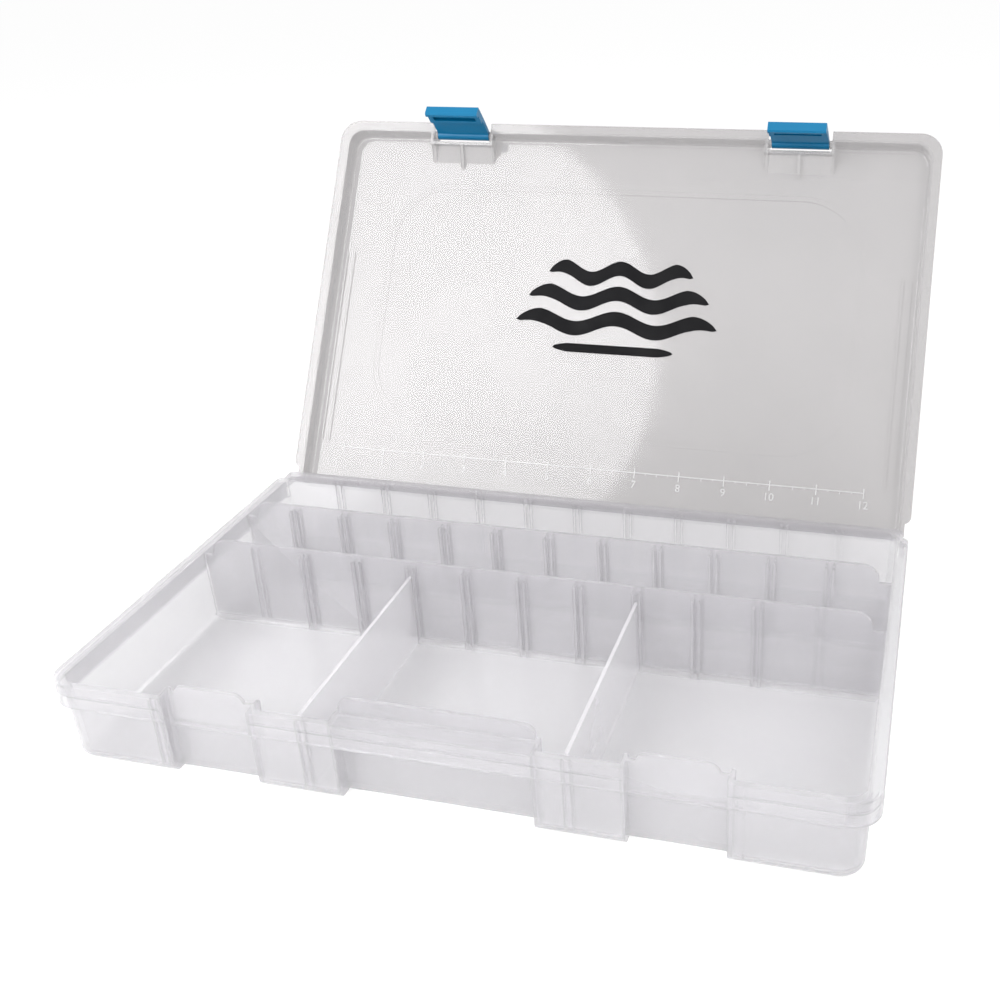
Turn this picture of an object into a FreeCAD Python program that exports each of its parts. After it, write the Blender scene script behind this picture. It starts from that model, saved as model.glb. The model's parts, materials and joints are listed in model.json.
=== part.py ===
"""Fishing tackle box: a moulded tray and lid joined by a thin hinge web, two latches, two dividers.

Frame: origin at the middle of the tray's flat base, X along the length, -Y to the front, +Z up.
The box is modelled with the lid standing open and the latches swung a little way off their catches.
"""
import FreeCAD, Part
import math
import os

V = FreeCAD.Vector
X_AXIS = V(1, 0, 0)
Z_AXIS = V(0, 0, 1)

# --- driving dimensions, in millimetres -------------------------------------------------------
LENGTH = 356.0            # over the side flanges
FRONT = -106.0            # outer face of the front flange
SIDE_REAR = 100.0         # where the side flanges end
REAR = 108.6              # outer face of the rear rim strip
HINGE_LENGTH = 350.0      # length of the hinge zone
RIM = 39.4                # height of the tray's rim
WALL = 1.8                # tray wall and floor
FLANGE_OVERHANG = 4.0     # flange face to wall face at the sides
FRONT_OVERHANG = 1.1      # flange face to wall face at the front
FLANGE_DEPTH = 11.8       # height of the skirt
GROOVE_Z = 34.0           # shallow groove that runs round the flange
GROOVE_WIDTH = 1.2
GROOVE_DEPTH = 0.5
DRAFT = 1.3               # how much further in the side and rear walls stand at the base
FRONT_DRAFT = 0.3         # the same for the front wall
CORNER = 12.0             # plan radius of the flange corners
WALL_CORNER = 10.5        # plan radius of the wall corners
BASE_FILLET = 4.0

LATCH_X = 100.5           # middle of each latch, either side
LATCH_RECESS = 40.4       # width of the recess in the tray front
LATCH_WALL_Y = -98.5      # outer face of the recess wall
PAD_Y = -101.0            # outer face of the catch pad
PAD_BOTTOM = 22.8
PAD_TOP = 43.4
PAD_TAB = 33.6            # width of the part of the pad that stands above the rim
GRIP_WIDTH = 85.0         # finger recess in the middle of the front
GRIP_WALL_Y = -97.0
GRIP_TAB_TOP = 46.4
TAB_CORNER = 5.0

WALL_A_Y = 10.6            # front face of the fixed wall behind the big compartment
WALL_B_Y = 53.6           # front face of the fixed wall between the two rear channels
FIXED_WALL = 1.8
FIXED_TOP = 47.6
FIXED_END = 6.0           # gap from the side wall to the raised part of a fixed wall
FIXED_CORNER = 8.0        # round ends of the raised part
FIXED_FOOT = 2.5          # fillet at the foot of a fixed wall

RIB_WIDTH = 1.2
RIB_DEPTH = 2.5
RIB_SPACING = 3.4         # middle to middle of the two ribs of one slot
SLOT_PITCH = 28.5
CHANNEL_SLOTS = 11        # slots along each face of the rear channels
BIG_SLOTS = 9             # slots along the front face of the first fixed wall
FRONT_SLOTS = (57.0, 125.2)
DIVIDER_X = 57.0
DIVIDER_THICKNESS = 1.5
DIVIDER_TOP = 40.0

HINGE_Y = 110.2           # lid axis
HINGE_Z = 34.6
OPEN_ANGLE = 122.0        # lid angle from closed to its stop
WEB_RADIUS = 0.8
WEB_THICKNESS = 0.8

LID_BASE = 39.7           # underside of the lid's rim when closed
LID_INNER = 48.3          # inner face of the lid panel when closed
LID_TOP = 50.1
LID_LEDGE = 1.8
LID_WALL = 1.8
LID_LEDGE_WIDTH = 4.2
LID_DRAFT = 1.0
LID_OVERHANG = 0.3        # how far the lid's rim stands outside the tray's at the sides
LID_FRONT = -110.3        # front edge of the lid's rim
LID_SIDE_REAR = 103.2     # where the lid's side flanges end
LID_REAR = 111.0
LID_STRIP_BOTTOM = 36.0
RIDGE_X = 142.0           # half length of the stacking ridge on the lid
RIDGE_Y0 = -76.0
RIDGE_Y1 = 72.0
RIDGE_CORNER = 38.0
RIDGE_WIDTH = 3.0
RIDGE_HEIGHT = 0.9
SIDE_RIBS = (163.0, 167.5)
SIDE_RIB_Y0 = -30.0
SIDE_RIB_Y1 = 85.0
SIDE_RIB_DEPTH = 0.8

POCKET_WIDTH = 35.6       # latch pocket in the lid's front edge
POCKET_WALL_Y = -98.8
POCKET_KNEE_Z = 44.0      # where the pocket wall starts to slope
POCKET_BACK_Y = -89.0     # where the slope meets the panel
PIVOT_Y = -104.0
PIVOT_Z = 43.9
BAR_RADIUS = 1.5
BOSS_RADIUS = 2.4
BOSS_GAP = 0.4

LATCH_WIDTH = 32.0
LATCH_SWING = {"left": 17.0, "right": 4.0}   # how far each free latch stands off its catch
CLIP_RADIUS = 2.6
CLIP_CLEARANCE = 0.05
LATCH_FACE_Y = -105.2     # outer face when latched
LATCH_PLATE = 1.8
LATCH_TIP = 19.4
HOOK_TOP = 22.2
HOOK_Y = -99.6
FRAME_Y = -101.4          # how far the raised frame reaches
FRAME_TOP = 29.4
FRAME_BAR = 2.0
FRAME_SIDE = 3.0


# --- small helpers ----------------------------------------------------------------------------
def box(x0, x1, y0, y1, z0, z1):
    return Part.makeBox(x1 - x0, y1 - y0, z1 - z0, V(x0, y0, z0))


def rounded_wire(half_x, y0, y1, z, front_r, rear_r):
    """A rectangle with rounded corners, lying at height z."""
    rf = front_r
    rr = rear_r
    c = math.sqrt(0.5)
    edges = [
        Part.LineSegment(V(-half_x + rf, y0, z), V(half_x - rf, y0, z)).toShape(),
        Part.Arc(V(half_x - rf, y0, z), V(half_x - rf + rf * c, y0 + rf - rf * c, z),
                 V(half_x, y0 + rf, z)).toShape(),
        Part.LineSegment(V(half_x, y0 + rf, z), V(half_x, y1 - rr, z)).toShape(),
        Part.Arc(V(half_x, y1 - rr, z), V(half_x - rr + rr * c, y1 - rr + rr * c, z),
                 V(half_x - rr, y1, z)).toShape(),
        Part.LineSegment(V(half_x - rr, y1, z), V(-half_x + rr, y1, z)).toShape(),
        Part.Arc(V(-half_x + rr, y1, z), V(-half_x + rr - rr * c, y1 - rr + rr * c, z),
                 V(-half_x, y1 - rr, z)).toShape(),
        Part.LineSegment(V(-half_x, y1 - rr, z), V(-half_x, y0 + rf, z)).toShape(),
        Part.Arc(V(-half_x, y0 + rf, z), V(-half_x + rf - rf * c, y0 + rf - rf * c, z),
                 V(-half_x + rf, y0, z)).toShape(),
    ]
    return Part.Wire(edges)


def rounded_prism(half_x, y0, y1, z0, z1, front_r, rear_r):
    face = Part.Face(rounded_wire(half_x, y0, y1, z0, front_r, rear_r))
    return face.extrude(V(0, 0, z1 - z0))


def profile_prism(points, x0, x1):
    """Extrude a closed (y, z) outline along X."""
    corners = [V(x0, y, z) for y, z in points]
    face = Part.Face(Part.makePolygon(corners + corners[:1]))
    return face.extrude(V(x1 - x0, 0, 0))


def plate_with_round_top(x0, x1, y0, y1, z0, z1, radius):
    """An upright plate in the XZ plane whose two top corners are rounded."""
    c = radius * (1 - math.sqrt(0.5))
    edges = [
        Part.LineSegment(V(x0, y0, z0), V(x1, y0, z0)).toShape(),
        Part.LineSegment(V(x1, y0, z0), V(x1, y0, z1 - radius)).toShape(),
        Part.Arc(V(x1, y0, z1 - radius), V(x1 - c, y0, z1 - c), V(x1 - radius, y0, z1)).toShape(),
        Part.LineSegment(V(x1 - radius, y0, z1), V(x0 + radius, y0, z1)).toShape(),
        Part.Arc(V(x0 + radius, y0, z1), V(x0 + c, y0, z1 - c), V(x0, y0, z1 - radius)).toShape(),
        Part.LineSegment(V(x0, y0, z1 - radius), V(x0, y0, z0)).toShape(),
    ]
    return Part.Face(Part.Wire(edges)).extrude(V(0, y1 - y0, 0))


def foot_fillet(y, side, x0, x1, z, radius):
    """Concave fillet between an upright face at y (open to `side`) and a floor at z."""
    far = y + side * radius
    c = radius * (1 - math.sqrt(0.5))
    edges = [
        Part.LineSegment(V(x0, y, z), V(x0, far, z)).toShape(),
        Part.Arc(V(x0, far, z), V(x0, y + side * c, z + c), V(x0, y, z + radius)).toShape(),
        Part.LineSegment(V(x0, y, z + radius), V(x0, y, z)).toShape(),
    ]
    return Part.Face(Part.Wire(edges)).extrude(V(x1 - x0, 0, 0))


def lowest_edges(shape, z):
    return [e for e in shape.Edges if abs(e.BoundBox.ZMin - z) < 1e-4 and abs(e.BoundBox.ZMax - z) < 1e-4]


def opened(shape):
    """Swing a lid part from closed to its open rest."""
    turned = shape.copy()
    turned.rotate(V(0, HINGE_Y, HINGE_Z), X_AXIS, -OPEN_ANGLE)
    return turned


def save(shape, name):
    solids = shape.Solids
    assert shape.isValid(), name
    print(name, "solids", len(solids), "volume cm3", round(shape.Volume / 1000, 2))
    shape.exportStep("parts/" + name + ".step")


# --- tray -------------------------------------------------------------------------------------
HALF = LENGTH / 2
WALL_HALF = HALF - FLANGE_OVERHANG
WALL_FRONT = FRONT + FRONT_OVERHANG
WALL_REAR = REAR - 1.4
INNER_HALF = WALL_HALF - WALL
INNER_FRONT = WALL_FRONT + WALL
INNER_REAR = WALL_REAR - WALL


def tapered_block(inset, z0, z1):
    """The tray's drafted body, moved in by `inset`; its foot stands further in."""
    r = WALL_CORNER - inset
    low = rounded_wire(WALL_HALF - inset - DRAFT, WALL_FRONT + inset + FRONT_DRAFT,
                       WALL_REAR - inset - DRAFT, z0, r, r)
    high = rounded_wire(WALL_HALF - inset, WALL_FRONT + inset, WALL_REAR - inset, z1, r, r)
    return Part.makeLoft([low, high], True, True)


def front_recesses(extra, z0, z1):
    """The latch and finger recesses as blocks, each grown by `extra` for the cavity behind it."""
    blocks = []
    half = LATCH_RECESS / 2 + extra
    for side in (-1, 1):
        middle = side * LATCH_X
        blocks.append(box(middle - half, middle + half, FRONT - 5, LATCH_WALL_Y + extra, z0, z1))
    half = GRIP_WIDTH / 2 + extra
    blocks.append(box(-half, half, FRONT - 5, GRIP_WALL_Y + extra, z0, z1))
    return blocks


def slot_pair(x, y, side, z0, z1):
    """Two upright ribs that hold a divider, standing on a face at y and reaching to `side`."""
    y0, y1 = sorted((y - side * 0.3, y + side * RIB_DEPTH))
    ribs = []
    for offset in (-RIB_SPACING / 2, RIB_SPACING / 2):
        middle = x + offset
        ribs.append(box(middle - RIB_WIDTH / 2, middle + RIB_WIDTH / 2, y0, y1, z0, z1))
    return ribs


def fixed_wall(y):
    """A moulded wall along X with its raised middle, round ends and filleted feet."""
    low = box(-INNER_HALF - 0.5, INNER_HALF + 0.5, y, y + FIXED_WALL, WALL - 0.3, RIM - 1)
    end = INNER_HALF - FIXED_END
    high = plate_with_round_top(-end, end, y, y + FIXED_WALL, RIM - 5, FIXED_TOP, FIXED_CORNER)
    x = INNER_HALF - DRAFT
    feet = []
    for face, side in ((y, -1), (y + FIXED_WALL, 1)):
        feet.append(foot_fillet(face, side, -x, x, WALL, FIXED_FOOT))
    return [low, high] + feet


def make_flange():
    """Ledge and hanging skirt round three sides, and a short strip that carries the hinge web."""
    z0 = RIM - FLANGE_DEPTH
    outer = rounded_prism(HALF, FRONT, SIDE_REAR, z0, RIM, CORNER, 4.0)
    skirt = WALL
    hollow = rounded_prism(HALF - skirt, WALL_FRONT + 0.3, SIDE_REAR - skirt, z0 - 1, RIM - WALL,
                           CORNER - skirt, 4.0 - skirt)
    groove_z0 = GROOVE_Z - GROOVE_WIDTH / 2
    groove_z1 = GROOVE_Z + GROOVE_WIDTH / 2
    groove = rounded_prism(HALF + 1, FRONT - 1, SIDE_REAR + 1, groove_z0, groove_z1, CORNER + 1, 5.0)
    core = rounded_prism(HALF - GROOVE_DEPTH, FRONT + GROOVE_DEPTH, SIDE_REAR - GROOVE_DEPTH, groove_z0 - 1,
                         groove_z1 + 1, CORNER - GROOVE_DEPTH, 4.0 - GROOVE_DEPTH)
    outer = outer.cut(groove.cut(core))
    strip = rounded_prism(HINGE_LENGTH / 2, 60, REAR, HINGE_Z - 1.0, RIM, 1.0, 2.5)
    under = rounded_prism(HINGE_LENGTH / 2 - 1.4, 60 - 2, REAR - 1.4, HINGE_Z - 3, RIM - WALL, 1.0, 1.5)
    strip = strip.cut(under).cut(box(-HALF, HALF, 55, SIDE_REAR - 2, 0, RIM - WALL))
    return outer.cut(hollow).fuse(strip)


def make_tray():
    body = tapered_block(0, 0, RIM)
    body = body.makeFillet(BASE_FILLET, lowest_edges(body, 0))
    recesses = front_recesses(0, -1, RIM - WALL)
    latch_gaps = front_recesses(0, -1, RIM + 1)[:2]
    body = body.cut(Part.makeCompound(recesses + latch_gaps))

    cavity = tapered_block(WALL, WALL, RIM + 0.001)
    cavity = cavity.makeFillet(BASE_FILLET - WALL, lowest_edges(cavity, WALL))
    cavity = cavity.cut(Part.makeCompound(front_recesses(WALL, 0, RIM + 1)))

    flange = make_flange().cut(Part.makeCompound(latch_gaps))
    pads = []
    hollows = []
    for side in (-1, 1):
        middle = side * LATCH_X
        half = LATCH_RECESS / 2
        tab = PAD_TAB / 2
        pads.append(box(middle - half, middle + half, PAD_Y, LATCH_WALL_Y + WALL, PAD_BOTTOM, RIM))
        pads.append(plate_with_round_top(middle - tab, middle + tab, PAD_Y, PAD_Y + WALL,
                                         PAD_BOTTOM, PAD_TOP, TAB_CORNER))
        hollows.append(box(middle - half, middle + half, PAD_Y + WALL, LATCH_WALL_Y + 5,
                           PAD_BOTTOM + WALL, RIM + 1))
        for edge in (middle - half - WALL, middle + half):
            pads.append(box(edge, edge + WALL, FRONT + 0.3, WALL_FRONT + 1, RIM - FLANGE_DEPTH, RIM - 0.5))
    half = GRIP_WIDTH / 2
    tab = plate_with_round_top(-half, half, GRIP_WALL_Y, GRIP_WALL_Y + WALL, RIM - 3,
                               GRIP_TAB_TOP, TAB_CORNER)
    tray = body.fuse([flange] + pads).cut(cavity.fuse(hollows)).fuse(tab)

    inner = fixed_wall(WALL_A_Y) + fixed_wall(WALL_B_Y)
    floor = WALL - 0.3
    rib_top = FIXED_TOP - 3.0
    for i in range(CHANNEL_SLOTS):
        x = (i - (CHANNEL_SLOTS - 1) / 2) * SLOT_PITCH
        inner += slot_pair(x, INNER_REAR, -1, floor, RIM - 2)
        inner += slot_pair(x, WALL_B_Y + FIXED_WALL, 1, floor, rib_top)
        inner += slot_pair(x, WALL_B_Y, -1, floor, rib_top)
        inner += slot_pair(x, WALL_A_Y + FIXED_WALL, 1, floor, rib_top)
    for i in range(BIG_SLOTS):
        x = (i - (BIG_SLOTS - 1) / 2) * SLOT_PITCH
        inner += slot_pair(x, WALL_A_Y, -1, floor, rib_top)
    for x in FRONT_SLOTS:
        for side in (-1, 1):
            inner += slot_pair(side * x, INNER_FRONT, 1, floor, RIM - 2)
    return tray.fuse(inner).removeSplitter()


# --- hinge web --------------------------------------------------------------------------------
def make_web():
    """The thin flexible strip between tray and lid, with the round edge it folds about."""
    x = HINGE_LENGTH / 2 - 1
    half = WEB_THICKNESS / 2
    tail = box(-x, x, REAR, HINGE_Y, HINGE_Z - half, HINGE_Z + half)
    bead = Part.makeCylinder(WEB_RADIUS, 2 * x, V(-x, HINGE_Y, HINGE_Z), X_AXIS)
    return tail.fuse(bead).removeSplitter()


# --- lid --------------------------------------------------------------------------------------
def pocket_outline(shift):
    """Section of the latch pocket, moved `shift` towards the inside of the lid."""
    slope = math.atan2(LID_TOP - POCKET_KNEE_Z, POCKET_BACK_Y - POCKET_WALL_Y)
    knee_z = POCKET_KNEE_Z - shift * (1 - math.sin(slope)) / math.cos(slope)
    wall_y = POCKET_WALL_Y + shift
    top = LID_TOP + 3
    back_y = wall_y + (top - knee_z) / math.tan(slope)
    low = LID_BASE - 10
    return [(LID_FRONT - 5, low), (wall_y, low), (wall_y, knee_z), (back_y, top), (LID_FRONT - 5, top)]


def lid_body(inset, z0, z1):
    """Raised part of the lid inside its ledge."""
    half = HALF + LID_OVERHANG - LID_LEDGE_WIDTH - inset
    front = LID_FRONT + LID_LEDGE_WIDTH + inset
    rear = LID_REAR - inset
    r = WALL_CORNER - inset
    d = LID_DRAFT
    low = rounded_wire(half, front, rear, z0, r, 6.0 - inset)
    high = rounded_wire(half - d, front + d, rear - d / 2, z1, r, 6.0 - inset)
    return Part.makeLoft([low, high], True, True)


def ridge_ring(grow, z0, z1):
    outer = rounded_prism(RIDGE_X + grow, RIDGE_Y0 - grow, RIDGE_Y1 + grow, z0, z1,
                          RIDGE_CORNER + grow, RIDGE_CORNER + grow)
    w = RIDGE_WIDTH + 2 * grow
    r = RIDGE_CORNER + grow - w
    inner = rounded_prism(RIDGE_X + grow - w, RIDGE_Y0 - grow + w, RIDGE_Y1 + grow - w, z0 - 1, z1 + 1, r, r)
    return outer.cut(inner)


def make_lid():
    half = HALF + LID_OVERHANG
    ledge = rounded_prism(half, LID_FRONT, LID_SIDE_REAR, LID_BASE, LID_BASE + LID_LEDGE,
                          CORNER, 4.0)
    rear_half = HINGE_LENGTH / 2 + LID_OVERHANG
    rear_zone = rounded_prism(rear_half, 0, LID_REAR, LID_BASE, LID_BASE + LID_LEDGE, 1.0, 1.5)
    strip = box(-HINGE_LENGTH / 2, HINGE_LENGTH / 2, LID_REAR - LID_WALL, LID_REAR, LID_STRIP_BOTTOM,
                LID_BASE + LID_LEDGE)
    shell = lid_body(0, LID_BASE, LID_TOP)
    shell = shell.makeFillet(2.6, lowest_edges(shell, LID_TOP))
    ridge = ridge_ring(0, LID_TOP - 0.5, LID_TOP + RIDGE_HEIGHT)
    cavity = lid_body(LID_WALL, LID_BASE - 0.001, LID_INNER)
    cavity = cavity.makeFillet(1.2, lowest_edges(cavity, LID_INNER))
    solid = ledge.fuse([rear_zone, strip, shell, ridge])
    half = POCKET_WIDTH / 2
    extras = []
    for side in (-1, 1):
        middle = side * LATCH_X
        notch = profile_prism(pocket_outline(0), middle - half, middle + half)
        lining = profile_prism(pocket_outline(LID_WALL), middle - half - LID_WALL, middle + half + LID_WALL)
        solid = solid.cut(notch)
        cavity = cavity.cut(lining)
        extras.append(Part.makeCylinder(BAR_RADIUS, POCKET_WIDTH + 0.4,
                                        V(middle - half - 0.2, PIVOT_Y, PIVOT_Z), X_AXIS))
        boss = half - LATCH_WIDTH / 2 - BOSS_GAP
        for start in (middle - half - 0.2, middle + half - boss):
            extras.append(Part.makeCylinder(BOSS_RADIUS, boss + 0.2, V(start, PIVOT_Y, PIVOT_Z), X_AXIS))
        gusset = profile_prism([(POCKET_WALL_Y + 1.2, LID_BASE + 0.8), (POCKET_BACK_Y + 5, LID_INNER + 0.3),
                                (POCKET_WALL_Y + 1.2, LID_INNER + 0.3)], middle - 1.0, middle + 1.0)
        extras.append(gusset.cut(notch))
        for x in SIDE_RIBS:
            extras.append(box(side * x - 0.5, side * x + 0.5, SIDE_RIB_Y0, SIDE_RIB_Y1,
                              LID_INNER - SIDE_RIB_DEPTH, LID_INNER + 0.3))
    lid = solid.cut(cavity).fuse(extras)
    return lid.removeSplitter()


# --- latches ----------------------------------------------------------------------------------
def make_latch(middle):
    """A clip on the lid's bar: curved plate, hook, raised frame round a long slot."""
    half = LATCH_WIDTH / 2
    x0 = middle - half
    x1 = middle + half
    outer = LATCH_FACE_Y
    inner = LATCH_FACE_Y + LATCH_PLATE
    middle_z = 0.5 * (PIVOT_Z + LATCH_TIP)
    edges = [
        Part.LineSegment(V(x0, inner, PIVOT_Z - 1.8), V(x0, outer - 0.6, PIVOT_Z + 1.6)).toShape(),
        Part.Arc(V(x0, outer - 0.6, PIVOT_Z + 1.6), V(x0, outer - 0.6, middle_z), V(x0, outer, LATCH_TIP)).toShape(),
        Part.LineSegment(V(x0, outer, LATCH_TIP), V(x0, inner, LATCH_TIP)).toShape(),
        Part.LineSegment(V(x0, inner, LATCH_TIP), V(x0, inner, PIVOT_Z - 1.8)).toShape(),
    ]
    plate = Part.Face(Part.Wire(edges)).extrude(V(x1 - x0, 0, 0))
    clip = Part.makeCylinder(CLIP_RADIUS, LATCH_WIDTH, V(x0, PIVOT_Y, PIVOT_Z), X_AXIS)
    frame = box(x0, x1, inner - 0.5, FRAME_Y, HOOK_TOP - 0.2, FRAME_TOP)
    slot = box(x0 + FRAME_SIDE, x1 - FRAME_SIDE, inner, FRAME_Y + 1, HOOK_TOP, FRAME_TOP - FRAME_BAR)
    hook = profile_prism([(inner - 0.5, LATCH_TIP), (HOOK_Y - 0.8, LATCH_TIP), (HOOK_Y, LATCH_TIP + 0.9),
                          (HOOK_Y, HOOK_TOP - 0.3), (HOOK_Y - 0.3, HOOK_TOP), (inner - 0.5, HOOK_TOP)], x0, x1)
    latch = plate.fuse([clip, frame.cut(slot), hook])
    bore = Part.makeCylinder(BAR_RADIUS + CLIP_CLEARANCE, LATCH_WIDTH + 2, V(x0 - 1, PIVOT_Y, PIVOT_Z), X_AXIS)
    return latch.cut(bore).removeSplitter()


def hung(latch, swing):
    """Swing a latch outwards from its latched place to where it stands free."""
    turned = latch.copy()
    turned.rotate(V(0, PIVOT_Y, PIVOT_Z), X_AXIS, -swing)
    return turned


# --- dividers ---------------------------------------------------------------------------------
def make_divider(x):
    """A removable plate held in the slots between the front wall and the first fixed wall."""
    y0 = INNER_FRONT + 0.4
    y1 = WALL_A_Y - 0.4
    z0 = WALL + 0.4
    t = DIVIDER_THICKNESS / 2
    foot = FIXED_FOOT + 0.3
    low = y0 + FRONT_DRAFT
    outline = [(low + foot, z0), (y1 - foot, z0), (y1, z0 + foot), (y1, DIVIDER_TOP), (y0, DIVIDER_TOP),
               (y0, RIM - 2), (low, z0 + foot)]
    return profile_prism(outline, x - t, x + t)


def main():
    os.makedirs("parts", exist_ok=True)
    save(make_tray(), "tray")
    save(make_web(), "hinge_web")
    save(opened(make_lid()), "lid")
    for side, name in ((-1, "left"), (1, "right")):
        save(opened(hung(make_latch(side * LATCH_X), LATCH_SWING[name])), "latch_" + name)
        save(make_divider(side * DIVIDER_X), "divider_" + name)


main()
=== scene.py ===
"""Looks for the fishing tackle box: clear plastic, blue latches, ruler, printed mark, fold."""
import json
import math

import bpy
from mathutils import Matrix, Vector

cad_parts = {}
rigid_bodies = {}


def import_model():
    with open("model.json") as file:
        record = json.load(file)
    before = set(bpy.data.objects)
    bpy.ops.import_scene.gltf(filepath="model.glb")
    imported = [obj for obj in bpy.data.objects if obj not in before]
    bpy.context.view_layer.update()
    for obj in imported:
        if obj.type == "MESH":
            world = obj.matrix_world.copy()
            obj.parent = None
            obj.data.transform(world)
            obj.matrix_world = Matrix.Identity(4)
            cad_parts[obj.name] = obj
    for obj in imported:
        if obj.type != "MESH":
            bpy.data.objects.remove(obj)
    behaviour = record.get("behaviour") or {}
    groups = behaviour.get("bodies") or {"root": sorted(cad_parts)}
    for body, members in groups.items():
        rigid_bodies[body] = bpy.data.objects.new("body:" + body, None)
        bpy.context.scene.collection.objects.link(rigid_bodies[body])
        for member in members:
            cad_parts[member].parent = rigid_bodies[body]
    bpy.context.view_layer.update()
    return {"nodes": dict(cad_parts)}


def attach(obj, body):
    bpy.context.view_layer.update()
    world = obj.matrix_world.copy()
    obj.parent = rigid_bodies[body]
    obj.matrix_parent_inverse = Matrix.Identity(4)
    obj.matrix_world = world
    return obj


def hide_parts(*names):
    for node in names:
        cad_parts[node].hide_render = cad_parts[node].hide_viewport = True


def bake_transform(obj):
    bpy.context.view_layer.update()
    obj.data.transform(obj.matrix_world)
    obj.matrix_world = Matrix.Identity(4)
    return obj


MM = 0.001
bpy.ops.object.select_all(action="SELECT")
bpy.ops.object.delete()
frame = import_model()

# --- dimensions shared with the solids, in millimetres ----------------------------------------
HINGE_Y = 110.2
HINGE_Z = 34.6
OPEN = math.radians(122.0)
LID_INNER = 48.3
HINGE_HALF = 174.0       # half length of the hinge strip
STRIP_THICKNESS = 0.8


def lid_point(x, y, z):
    """A point given on the closed lid, carried to the open lid."""
    dy = y - HINGE_Y
    dz = z - HINGE_Z
    c = math.cos(OPEN)
    s = math.sin(OPEN)
    return Vector((x, HINGE_Y + dy * c + dz * s, HINGE_Z - dy * s + dz * c)) * MM


# --- materials --------------------------------------------------------------------------------
def plastic(name, colour, rough, transmission=0.0, alpha=1.0, specular=0.5, tint=0.0, grain=0.0,
            ripple=0.0, emission=0.0):
    """Moulded plastic. Noise gives cloudy colour (tint), uneven gloss (grain) and bump (ripple, mm)."""
    mat = bpy.data.materials.new(name)
    mat.use_nodes = True
    nodes = mat.node_tree.nodes
    links = mat.node_tree.links
    shader = nodes["Principled BSDF"]
    shader.inputs["Base Color"].default_value = (*colour, 1)
    shader.inputs["Roughness"].default_value = rough
    shader.inputs["Alpha"].default_value = alpha
    shader.inputs["IOR"].default_value = 1.49
    shader.inputs["Specular IOR Level"].default_value = specular
    shader.inputs["Transmission Weight"].default_value = transmission
    shader.inputs["Emission Color"].default_value = (1, 1, 1, 1)
    shader.inputs["Emission Strength"].default_value = emission
    place = nodes.new("ShaderNodeTexCoord")
    if tint:
        cloud = nodes.new("ShaderNodeTexNoise")
        cloud.inputs["Scale"].default_value = 22.0
        cloud.inputs["Detail"].default_value = 3.0
        ramp = nodes.new("ShaderNodeValToRGB")
        ramp.color_ramp.elements[0].position = 0.35
        ramp.color_ramp.elements[1].position = 0.65
        ramp.color_ramp.elements[0].color = (*(c * (1 - tint) for c in colour), 1)
        ramp.color_ramp.elements[1].color = (*colour, 1)
        links.new(place.outputs["Object"], cloud.inputs["Vector"])
        links.new(cloud.outputs["Fac"], ramp.inputs["Fac"])
        links.new(ramp.outputs["Color"], shader.inputs["Base Color"])
    if grain:
        wear = nodes.new("ShaderNodeTexNoise")
        wear.inputs["Scale"].default_value = 70.0
        wear.inputs["Detail"].default_value = 6.0
        spread = nodes.new("ShaderNodeMapRange")
        spread.inputs["From Min"].default_value = 0.3
        spread.inputs["From Max"].default_value = 0.7
        spread.inputs["To Min"].default_value = rough - grain
        spread.inputs["To Max"].default_value = rough + grain
        links.new(place.outputs["Object"], wear.inputs["Vector"])
        links.new(wear.outputs["Fac"], spread.inputs["Value"])
        links.new(spread.outputs["Result"], shader.inputs["Roughness"])
    if ripple:
        wave = nodes.new("ShaderNodeTexNoise")
        wave.inputs["Scale"].default_value = 38.0
        wave.inputs["Detail"].default_value = 2.0
        bump = nodes.new("ShaderNodeBump")
        bump.inputs["Strength"].default_value = 1.0
        bump.inputs["Distance"].default_value = ripple * MM
        links.new(place.outputs["Object"], wave.inputs["Vector"])
        links.new(wave.outputs["Fac"], bump.inputs["Height"])
        links.new(bump.outputs["Normal"], shader.inputs["Normal"])
    return mat


tray_clear = plastic("clear_tray", (0.78, 0.77, 0.793), 0.18, transmission=0.74, alpha=0.69, tint=0.02,
                     grain=0.03)
# The lid's base colour is a darker grey copy of the tray plastic: painted shade for the lid lying in less
# light.
lid_clear_painted_shade = plastic("clear_lid", (0.5, 0.486, 0.488), 0.08, transmission=0.55, alpha=0.8, tint=0.03,
                    grain=0.02)
# The dividers' base colour is a lighter copy of the tray plastic: painted light brightening the dividers'
# shaded faces.
divider_clear_painted_light = plastic("clear_divider", (0.95, 0.94, 0.96), 0.2, transmission=0.5, alpha=0.7, tint=0.015,
                        grain=0.03)
ruler_clear = plastic("clear_ruler", (0.9, 0.895, 0.9), 0.2, transmission=0.4, alpha=0.8, tint=0.02,
                      grain=0.03)
blue = plastic("blue_latch", (0.0, 0.15, 0.31), 0.36, specular=0.35, tint=0.08, grain=0.05, ripple=0.03)
ink = plastic("ink", (0.006, 0.006, 0.007), 0.6, specular=0.12, tint=0.2, grain=0.1)

for node, mat in (("tray", tray_clear), ("hinge_web", tray_clear), ("lid", lid_clear_painted_shade),
                  ("latch_left", blue), ("latch_right", blue),
                  ("divider_left", divider_clear_painted_light), ("divider_right", divider_clear_painted_light)):
    for slot in frame["nodes"][node].material_slots:
        slot.material = mat


def add_mesh(name, verts, faces, mat):
    mesh = bpy.data.meshes.new(name)
    mesh.from_pydata(verts, [], faces)
    mesh.update()
    obj = bpy.data.objects.new(name, mesh)
    bpy.context.collection.objects.link(obj)
    mesh.materials.append(mat)
    return obj


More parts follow.
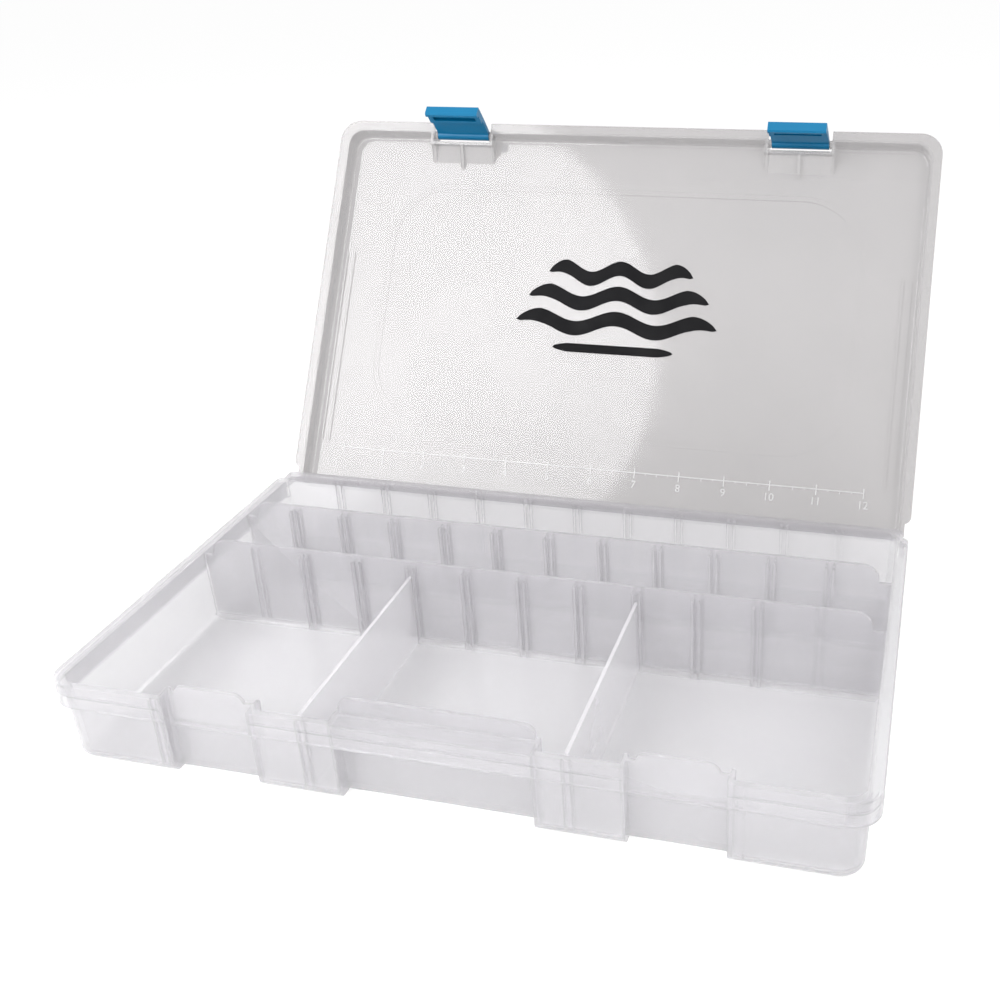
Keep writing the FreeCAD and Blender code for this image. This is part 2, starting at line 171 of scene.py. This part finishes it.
# --- folding strip ----------------------------------------------------------------------------
def fold_strip():
    """One smooth band from the tray's rear edge, round the fold, to the lid's edge."""
    path = []
    for y, z in ((108.5, 34.4), (109.0, 34.3), (109.6, 34.2)):
        path.append(Vector((0, y, z)) * MM)
    path.append(Vector((0, 110.2, 34.15)) * MM)
    for y, z in ((110.5, 34.9), (110.6, 35.5), (110.5, 36.1)):
        path.append(lid_point(0, y, z))
    thick = STRIP_THICKNESS * MM
    verts = []
    for x in (-HINGE_HALF, HINGE_HALF):
        for i, p in enumerate(path):
            a = path[max(i - 1, 0)]
            b = path[min(i + 1, len(path) - 1)]
            d = (b - a).normalized()
            n = Vector((0, -d.z, d.y))
            verts.append((x * MM, p.y + n.y * thick / 2, p.z + n.z * thick / 2))
            verts.append((x * MM, p.y - n.y * thick / 2, p.z - n.z * thick / 2))
    count = len(path)
    faces = []
    for i in range(count - 1):
        a = 2 * i
        b = 2 * (i + 1)
        c = a + 2 * count
        d = b + 2 * count
        faces.append((a, b, d, c))
        faces.append((a + 1, c + 1, d + 1, b + 1))
        faces.append((a, a + 1, b + 1, b))
        faces.append((c, d, d + 1, c + 1))
    end = 2 * (count - 1)
    faces.append((0, 2 * count, 2 * count + 1, 1))
    faces.append((end, end + 1, end + 1 + 2 * count, end + 2 * count))
    strip = add_mesh("fold_strip", verts, faces, tray_clear)
    for poly in strip.data.polygons:
        poly.use_smooth = False
    return strip


strip = fold_strip()
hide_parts("hinge_web")
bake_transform(strip)


# --- ruler ------------------------------------------------------------------------------------
def lid_frame(x, y, z):
    """Placement on the lid's inner face: local x along the box, y away from the hinge, z outwards."""
    origin = lid_point(x, y, z)
    along = (lid_point(x + 1, y, z) - origin).normalized()
    away = (lid_point(x, y - 1, z) - origin).normalized()
    out = (lid_point(x, y, z - 1) - origin).normalized()
    m = Matrix((along, away, out)).transposed().to_4x4()
    m.translation = origin
    return m


def lid_bars(name, bars, height, mat):
    """Low bars on the lid's inner face, each (x0, x1, d0, d1) with d measured from the hinge."""
    verts = []
    faces = []
    top = LID_INNER + 0.02
    low = LID_INNER - height
    for x0, x1, d0, d1 in bars:
        n = len(verts)
        for z in (top, low):
            for x, d in ((x0, d0), (x1, d0), (x1, d1), (x0, d1)):
                verts.append(lid_point(x, HINGE_Y - d, z))
        faces += [(n + 4, n + 5, n + 6, n + 7), (n, n + 3, n + 2, n + 1)]
        for i in range(4):
            j = (i + 1) % 4
            faces.append((n + i, n + j, n + 4 + j, n + 4 + i))
    obj = add_mesh(name, verts, faces, mat)
    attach(obj, "lid")


RULER_D = 22.0            # distance of the ruler's line from the hinge
RULER_START = -152.4
INCH = 25.4
DIVISIONS = 12
RULER_HEIGHT = 0.35       # how far the line and ticks stand up
FIGURE_SIZE = 6.0
FIGURE_D = 13.4           # distance of the figures' feet from the hinge
bars = [(RULER_START - 0.3, -RULER_START + 0.3, RULER_D - 0.25, RULER_D + 0.25)]
for i in range(DIVISIONS + 1):
    x = RULER_START + i * INCH
    bars.append((x - 0.3, x + 0.3, RULER_D - 3.2, RULER_D + 2.4))
    for quarter in (1, 2, 3):
        if i < DIVISIONS:
            reach = 1.6 if quarter == 2 else 1.0
            x = RULER_START + (i + quarter / 4) * INCH
            bars.append((x - 0.2, x + 0.2, RULER_D - reach, RULER_D))
lid_bars("ruler", bars, RULER_HEIGHT, ruler_clear)
for i in range(1, DIVISIONS + 1):
    curve = bpy.data.curves.new("ruler_figure_%d" % i, "FONT")
    curve.body = str(i)
    curve.size = FIGURE_SIZE * MM
    curve.align_x = "CENTER"
    curve.extrude = 0.2 * MM
    curve.materials.append(ruler_clear)
    text = bpy.data.objects.new("ruler_figure_%d" % i, curve)
    bpy.context.collection.objects.link(text)
    text.matrix_world = lid_frame(RULER_START + i * INCH, HINGE_Y - FIGURE_D, LID_INNER - 0.1)
    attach(text, "lid")


# --- printed mark -----------------------------------------------------------------------------
def print_mark(cx, cd, width, height):
    """Three wave bands over a plain bar: a generic water sign."""
    verts = []
    faces = []
    z = LID_INNER - 0.04
    steps = 48

    def band(d_mid, thick, amp, x0, x1):
        n0 = len(verts)
        for i in range(steps + 1):
            t = i / steps
            x = x0 + (x1 - x0) * t
            w = amp * math.sin(2 * math.pi * 2.5 * t)
            taper = min(1.0, 8 * t, 8 * (1 - t)) ** 0.5
            for s in (-1, 1):
                verts.append(lid_point(x, HINGE_Y - (d_mid + w + s * thick * taper / 2), z))
        for i in range(steps):
            a = n0 + 2 * i
            faces.append((a, a + 2, a + 3, a + 1))

    half = width / 2
    band(cd + height * 0.34, height * 0.15, height * 0.06, cx - half * 0.72, cx + half * 0.72)
    band(cd + height * 0.08, height * 0.15, height * 0.06, cx - half * 0.9, cx + half * 0.9)
    band(cd - height * 0.18, height * 0.15, height * 0.06, cx - half, cx + half)
    band(cd - height * 0.44, height * 0.09, 0.0, cx - half * 0.6, cx + half * 0.6)
    mark = add_mesh("printed_mark", verts, faces, ink)
    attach(mark, "lid")


print_mark(4.0, 116.0, 119.0, 57.0)

# --- stage and light --------------------------------------------------------------------------
FLOOR_HALF = 7.0          # metres
FLOOR_DROP = 0.0002       # keeps the floor just under the base
f = FLOOR_HALF
floor = add_mesh("floor", [(-f, -f, 0), (f, -f, 0), (f, f, 0), (-f, f, 0)], [(0, 1, 2, 3)],
                 plastic("floor", (0.6, 0.6, 0.6), 0.9, specular=0.0, emission=0.45))
floor.location.z = -FLOOR_DROP

world = bpy.data.worlds.new("world")
bpy.context.scene.world = world
world.use_nodes = True
world.node_tree.nodes["Background"].inputs[0].default_value = (1, 1, 1, 1)
world.node_tree.nodes["Background"].inputs[1].default_value = 0.88


def softbox(name, place, aim, power, size):
    """A round area light at `place`, turned towards `aim`."""
    data = bpy.data.lights.new(name, "AREA")
    data.shape = "DISK"
    data.size = size
    data.energy = power
    obj = bpy.data.objects.new(name, data)
    bpy.context.collection.objects.link(obj)
    obj.location = place
    obj.rotation_euler = (Vector(aim) - Vector(place)).to_track_quat("-Z", "Y").to_euler()


softbox("key", (-0.5206, -0.5003, 0.7183), (-0.1644, 0.1560, 0.0530), 6.8, 0.696)
softbox("top", (0.35, -0.25, 1.7), (0, 0, 0), 1.5, 0.9)
softbox("fill", (0.7, -0.9, 0.9), (0, 0, 0.02), 6.5, 0.8)

# --- camera -----------------------------------------------------------------------------------
AZIMUTH = math.radians(14.71)
ELEVATION = math.radians(24.95)
ROLL = math.radians(-1.35)
SENSOR = 36
FOCAL_RATIO = 1.2162      # focal length over sensor width
back = Vector((math.sin(AZIMUTH) * math.cos(ELEVATION), -math.cos(AZIMUTH) * math.cos(ELEVATION),
               math.sin(ELEVATION)))
right = (-back).cross(Vector((0, 0, 1))).normalized()
up = right.cross(-back)
tilted_right = math.cos(ROLL) * right + math.sin(ROLL) * up
tilted_up = -math.sin(ROLL) * right + math.cos(ROLL) * up
data = bpy.data.cameras.new("camera")
data.sensor_width = SENSOR
data.lens = SENSOR * FOCAL_RATIO
data.shift_x = -0.1315
data.shift_y = -0.0441
data.clip_start = 0.02
camera = bpy.data.objects.new("camera", data)
bpy.context.collection.objects.link(camera)
pose = Matrix((tilted_right, tilted_up, back)).transposed().to_4x4()
pose.translation = (0.18022, -0.46192, 0.34270)
camera.matrix_world = pose
bpy.context.scene.camera = camera
bpy.context.scene.view_settings.view_transform = "Standard"
